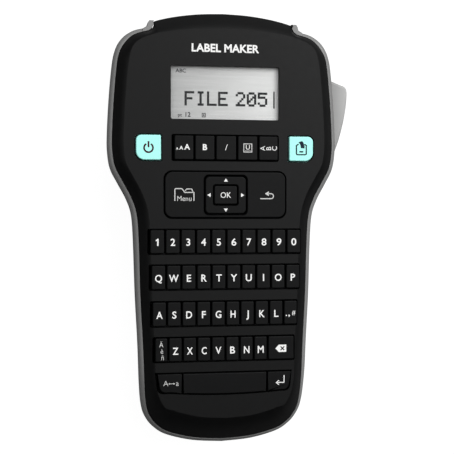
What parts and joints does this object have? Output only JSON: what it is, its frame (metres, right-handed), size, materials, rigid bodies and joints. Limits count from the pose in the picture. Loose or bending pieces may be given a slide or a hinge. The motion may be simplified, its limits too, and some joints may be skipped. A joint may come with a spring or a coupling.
{
  "type": "label maker",
  "caption": "Hand-held label maker: waisted two-part housing with a keyboard, a display window, a side cutter lever, and label cassette and battery bays behind sliding and hinged doors.",
  "frame": {"origin": "on the flat back that the label maker lies on, on its centre line, between the cassette door and the battery door", "axes": "+Z out of the keyboard, +Y towards the end where the label leaves, +X towards the cutter lever's side"},
  "size_m": [0.1201, 0.2081, 0.0508],
  "materials": {
    "cover_black": "satin",
    "key_black": "satin",
    "shell_grey": "satin metallic paint",
    "lever_grey": "satin",
    "key_teal": "satin",
    "clear_lens": "clear polycarbonate",
    "screen_grey": "reflective display",
    "circuit_board": "solder mask",
    "key_rubber": "matte",
    "frame_black": "matte",
    "bright_steel": "brushed",
    "nylon_white": "matte",
    "cell_jacket": "printed jacket",
    "tape_white": "matte film"
  },
  "bodies": {
    "housing": {"front_cover": "cover_black", "rear_cover": "shell_grey", "exit_bezel": "cover_black", "lcd_window": "clear_lens", "lcd_module": "screen_grey", "main_board": "circuit_board", "key_mat": "key_rubber", "battery_1": "cell_jacket", "battery_2": "cell_jacket", "battery_3": "cell_jacket", "battery_4": "cell_jacket", "battery_5": "cell_jacket", "battery_6": "cell_jacket", "left_contact_plate": "bright_steel", "right_contact_plate": "bright_steel", "power_socket": "bright_steel", "drive_frame": "frame_black", "print_head": "bright_steel", "drive_motor": "bright_steel", "tape_cassette": "frame_black", "label_tape": "tape_white", "lever_pin": "bright_steel", "housing_screw_1": "bright_steel", "housing_screw_2": "bright_steel", "housing_screw_3": "bright_steel", "housing_screw_4": "bright_steel"},
    "power_button": {"power_button": "key_teal"},
    "print_button": {"print_button": "key_teal"},
    "font_size_key": {"font_size_key": "key_black"},
    "bold_key": {"bold_key": "key_black"},
    "italic_key": {"italic_key": "key_black"},
    "underline_key": {"underline_key": "key_black"},
    "vertical_text_key": {"vertical_text_key": "key_black"},
    "ok_button": {"ok_button": "key_black"},
    "number_keys": {"number_keys": "key_black"},
    "upper_letter_keys": {"upper_letter_keys": "key_black"},
    "home_letter_keys": {"home_letter_keys": "key_black"},
    "accent_key": {"accent_key": "key_black"},
    "lower_letter_keys": {"lower_letter_keys": "key_black"},
    "backspace_key": {"backspace_key": "key_black"},
    "caps_key": {"caps_key": "key_black"},
    "space_bar": {"space_bar": "key_black"},
    "return_key": {"return_key": "key_black"},
    "menu_back_panel": {"menu_back_panel": "key_black"},
    "arrow_dome": {"arrow_dome": "key_rubber"},
    "arrow_ring": {"arrow_ring": "key_black"},
    "cassette_door": {"cassette_door": "shell_grey", "cassette_window": "clear_lens"},
    "battery_door": {"battery_door": "shell_grey"},
    "platen": {"platen_roller": "key_rubber", "platen_gear": "nylon_white"},
    "idler_gear": {"idler_gear": "nylon_white"},
    "motor_pinion": {"motor_pinion": "nylon_white"},
    "ribbon_spindle": {"ribbon_spindle": "nylon_white"},
    "cutter_lever": {"cutter_lever": "lever_grey", "lever_spring": "bright_steel"},
    "cutter": {"blade_carrier": "nylon_white", "cutter_blade": "bright_steel"}
  },
  "joints": [
    {"name": "power_button_press", "type": "slide", "parent": "housing", "child": "power_button", "axis": [0, 0, -1], "range_m": [0, 0.001], "stiffness_N_per_m": 300, "springref_m": -0.0005},
    {"name": "print_button_press", "type": "slide", "parent": "housing", "child": "print_button", "axis": [0, 0, -1], "range_m": [0, 0.001], "stiffness_N_per_m": 300, "springref_m": -0.0005},
    {"name": "font_size_key_press", "type": "slide", "parent": "housing", "child": "font_size_key", "axis": [0, 0, -1], "range_m": [0, 0.001], "stiffness_N_per_m": 300, "springref_m": -0.0005},
    {"name": "bold_key_press", "type": "slide", "parent": "housing", "child": "bold_key", "axis": [0, 0, -1], "range_m": [0, 0.001], "stiffness_N_per_m": 300, "springref_m": -0.0005},
    {"name": "italic_key_press", "type": "slide", "parent": "housing", "child": "italic_key", "axis": [0, 0, -1], "range_m": [0, 0.001], "stiffness_N_per_m": 300, "springref_m": -0.0005},
    {"name": "underline_key_press", "type": "slide", "parent": "housing", "child": "underline_key", "axis": [0, 0, -1], "range_m": [0, 0.001], "stiffness_N_per_m": 300, "springref_m": -0.0005},
    {"name": "vertical_text_key_press", "type": "slide", "parent": "housing", "child": "vertical_text_key", "axis": [0, 0, -1], "range_m": [0, 0.001], "stiffness_N_per_m": 300, "springref_m": -0.0005},
    {"name": "ok_button_press", "type": "slide", "parent": "housing", "child": "ok_button", "axis": [0, 0, -1], "range_m": [0, 0.001], "stiffness_N_per_m": 300, "springref_m": -0.0005},
    {"name": "number_keys_press", "type": "slide", "parent": "housing", "child": "number_keys", "axis": [0, 0, -1], "range_m": [0, 0.001], "stiffness_N_per_m": 300, "springref_m": -0.0005},
    {"name": "upper_letter_keys_press", "type": "slide", "parent": "housing", "child": "upper_letter_keys", "axis": [0, 0, -1], "range_m": [0, 0.001], "stiffness_N_per_m": 300, "springref_m": -0.0005},
    {"name": "home_letter_keys_press", "type": "slide", "parent": "housing", "child": "home_letter_keys", "axis": [0, 0, -1], "range_m": [0, 0.001], "stiffness_N_per_m": 300, "springref_m": -0.0005},
    {"name": "accent_key_press", "type": "slide", "parent": "housing", "child": "accent_key", "axis": [0, 0, -1], "range_m": [0, 0.001], "stiffness_N_per_m": 300, "springref_m": -0.0005},
    {"name": "lower_letter_keys_press", "type": "slide", "parent": "housing", "child": "lower_letter_keys", "axis": [0, 0, -1], "range_m": [0, 0.001], "stiffness_N_per_m": 300, "springref_m": -0.0005},
    {"name": "backspace_key_press", "type": "slide", "parent": "housing", "child": "backspace_key", "axis": [0, 0, -1], "range_m": [0, 0.001], "stiffness_N_per_m": 300, "springref_m": -0.0005},
    {"name": "caps_key_press", "type": "slide", "parent": "housing", "child": "caps_key", "axis": [0, 0, -1], "range_m": [0, 0.001], "stiffness_N_per_m": 300, "springref_m": -0.0005},
    {"name": "space_bar_press", "type": "slide", "parent": "housing", "child": "space_bar", "axis": [0, 0, -1], "range_m": [0, 0.001], "stiffness_N_per_m": 300, "springref_m": -0.0005},
    {"name": "return_key_press", "type": "slide", "parent": "housing", "child": "return_key", "axis": [0, 0, -1], "range_m": [0, 0.001], "stiffness_N_per_m": 300, "springref_m": -0.0005},
    {"name": "menu_back_tilt", "type": "hinge", "parent": "housing", "child": "menu_back_panel", "pos_m": [0, 0.01535, 0.049], "axis": [0, 1, 0], "range_deg": [-2, 2], "stiffness_Nm_per_rad": 0.3},
    {"name": "arrows_left_right", "type": "hinge", "parent": "housing", "child": "arrow_dome", "pos_m": [0, 0.0152, 0.049], "axis": [0, 1, 0], "range_deg": [-3, 3], "stiffness_Nm_per_rad": 0.05},
    {"name": "arrows_up_down", "type": "hinge", "parent": "arrow_dome", "child": "arrow_ring", "pos_m": [0, 0.0152, 0.049], "axis": [1, 0, 0], "range_deg": [-3, 3], "stiffness_Nm_per_rad": 0.05},
    {"name": "cassette_door_swing", "type": "hinge", "parent": "housing", "child": "cassette_door", "pos_m": [0, 0.0302, 0.002], "axis": [-1, 0, 0], "range_deg": [0, 100]},
    {"name": "battery_door_slide", "type": "slide", "parent": "housing", "child": "battery_door", "axis": [0, -1, 0], "range_m": [0, 0.085]},
    {"name": "cutter_lever_press", "type": "hinge", "parent": "housing", "child": "cutter_lever", "pos_m": [0.0487, 0.038, 0.0246], "axis": [0, 0, 1], "range_deg": [0, 8], "stiffness_Nm_per_rad": 0.8, "springref_deg": -5.73},
    {"name": "cutter_stroke", "type": "slide", "parent": "housing", "child": "cutter", "axis": [-1, 0, 0], "range_m": [0, 0.0072]},
    {"name": "idler_spin", "type": "hinge", "parent": "housing", "child": "idler_gear", "pos_m": [0.0315, 0.06128, 0.0285], "axis": [0, 0, 1], "continuous": true},
    {"name": "platen_spin", "type": "hinge", "parent": "housing", "child": "platen", "pos_m": [0.0225, 0.072, 0.0285], "axis": [0, 0, 1], "continuous": true},
    {"name": "motor_spin", "type": "hinge", "parent": "housing", "child": "motor_pinion", "pos_m": [0.03815, 0.04976, 0.0285], "axis": [0, 0, 1], "continuous": true},
    {"name": "ribbon_spin", "type": "hinge", "parent": "housing", "child": "ribbon_spindle", "pos_m": [0.01703, 0.05601, 0.0285], "axis": [0, 0, 1], "continuous": true}
  ],
  "couplings": [
    {"joint": "platen_spin", "follows": "idler_spin", "ratio": -1.8571},
    {"joint": "motor_spin", "follows": "idler_spin", "ratio": -2.1667},
    {"joint": "ribbon_spin", "follows": "idler_spin", "ratio": -1.4444},
    {"joint": "cutter_stroke", "follows": "cutter_lever_press", "m_per_rad": 0.05156}
  ]
}
